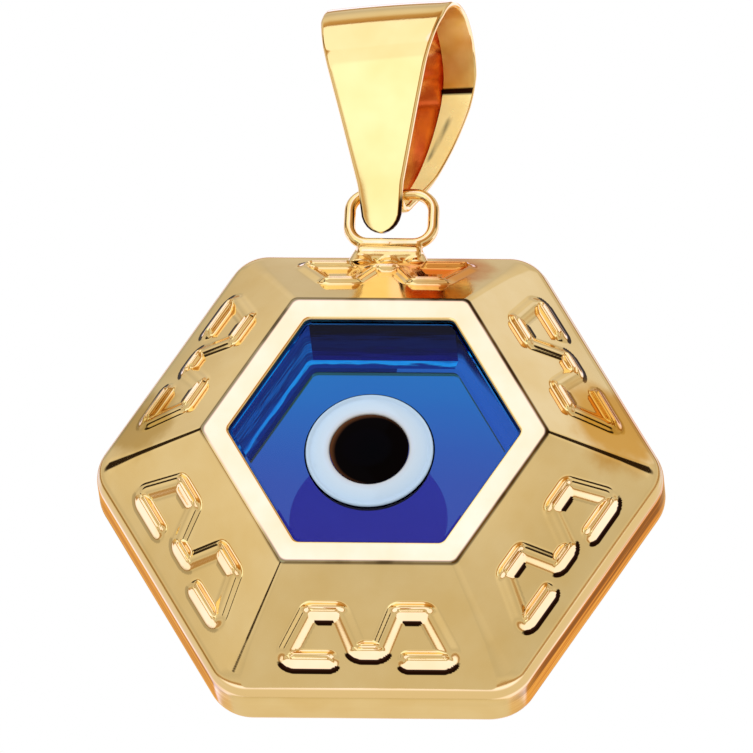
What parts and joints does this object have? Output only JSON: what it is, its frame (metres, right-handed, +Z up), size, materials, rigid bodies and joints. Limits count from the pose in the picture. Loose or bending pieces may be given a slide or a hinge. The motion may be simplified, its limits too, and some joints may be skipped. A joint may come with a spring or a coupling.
{
  "type": "hexagonal eye pendant with bail",
  "caption": "Hollow hexagonal pendant with a raised key ornament around a blue glass eye, swinging on a loop from a folded tapered bail.",
  "frame": {"origin": "top of the inside of the bail's bend, where a chain bears", "axes": "+Z up as it hangs, +X to the right seen from the front, the face looks along -Y"},
  "size_m": [0.02, 0.0061, 0.0278],
  "materials": {
    "gold": "polished yellow gold",
    "blue_glass": "clear cobalt blue glass, polished",
    "white_glass": "opaque milk-white glass, fire polished",
    "dark_glass": "opaque brown-black glass, fire polished"
  },
  "bodies": {
    "bail": {"bail": "gold"},
    "pendant": {"case": "gold", "back_plate": "gold", "blue_glass": "blue_glass", "white_ring": "white_glass", "pupil": "dark_glass"}
  },
  "joints": [
    {"name": "pendant_swing", "type": "hinge", "parent": "bail", "child": "pendant", "pos_m": [0, 0, -0.00714], "axis": [1, 0, 0], "range_deg": [-75, 75]}
  ]
}
